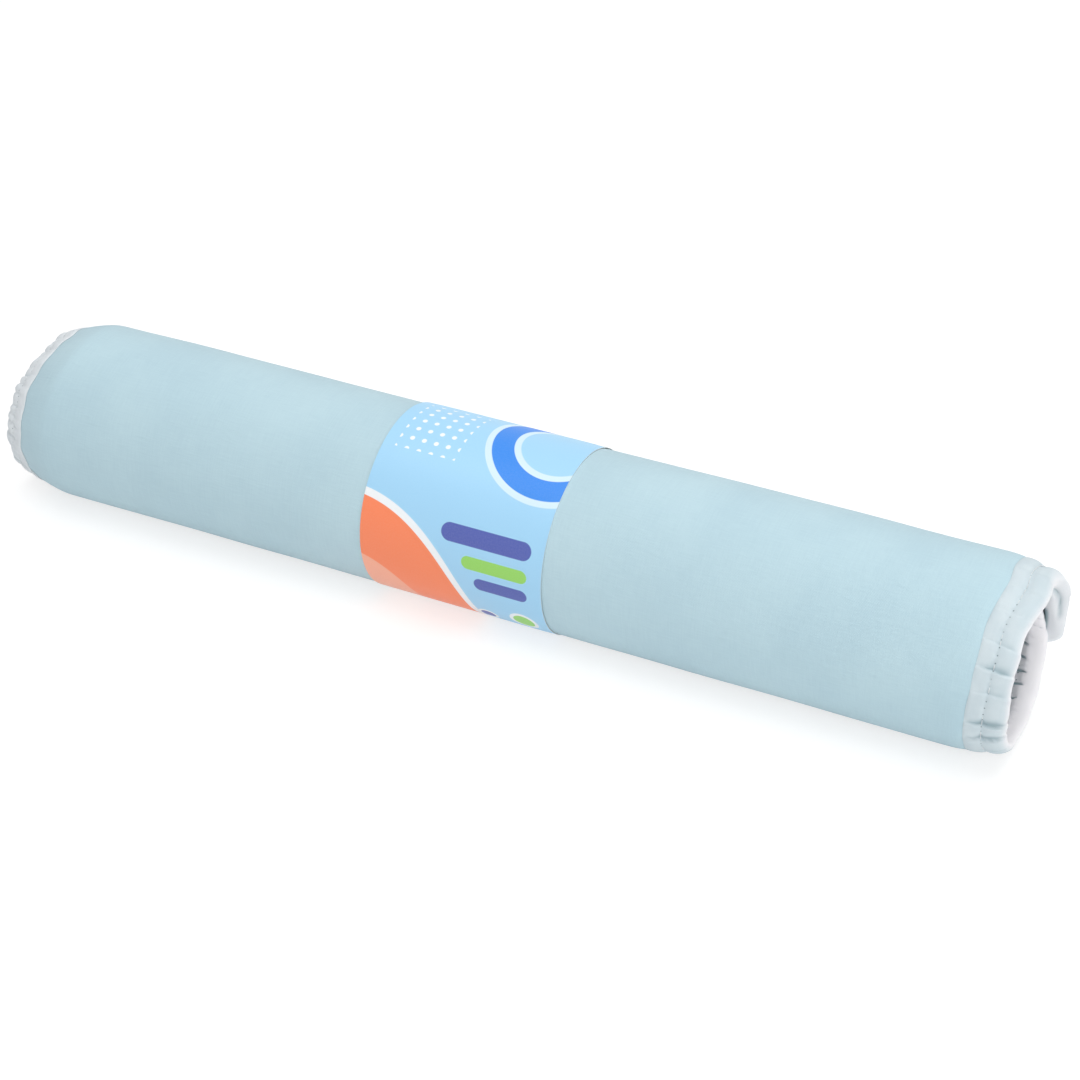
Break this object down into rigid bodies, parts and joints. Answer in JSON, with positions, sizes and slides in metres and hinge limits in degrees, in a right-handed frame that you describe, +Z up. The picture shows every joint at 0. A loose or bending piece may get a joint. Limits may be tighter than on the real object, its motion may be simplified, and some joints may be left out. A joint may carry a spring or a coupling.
{
  "type": "ironing board cover",
  "caption": "Ironing board cover rolled up with its pale blue cotton face out, with a white gathered elastic hem at both ends and a printed paper sleeve round the middle.",
  "frame": {"origin": "middle of the box that the whole part fills, on the surface that the sleeve rests on", "axes": "+X along the roll, towards the end whose hem is drawn in less; +Y towards the cover's tail edge; +Z up"},
  "size_m": [0.5044, 0.088, 0.0834],
  "materials": {
    "cotton": "matte",
    "foam": "matte",
    "felt": "matte",
    "hem": "matte",
    "elastic": "matte",
    "sleeve_paper": "satin"
  },
  "bodies": {
    "roll": {"cotton_cover": "cotton", "foam_layer": "foam", "felt_layer": "felt", "hem_casing_right": "hem", "hem_casing_left": "hem", "hem_casing_nose_right": "hem", "hem_casing_nose_left": "hem", "hem_casing_tail": "hem", "elastic_right": "elastic", "elastic_left": "elastic", "elastic_tail": "elastic"},
    "sleeve": {"paper_sleeve": "sleeve_paper"}
  },
  "joints": [
    {"name": "sleeve_slide", "type": "slide", "parent": "roll", "child": "sleeve", "axis": [1, 0, 0], "range_m": [-0.3, 0.305]}
  ]
}
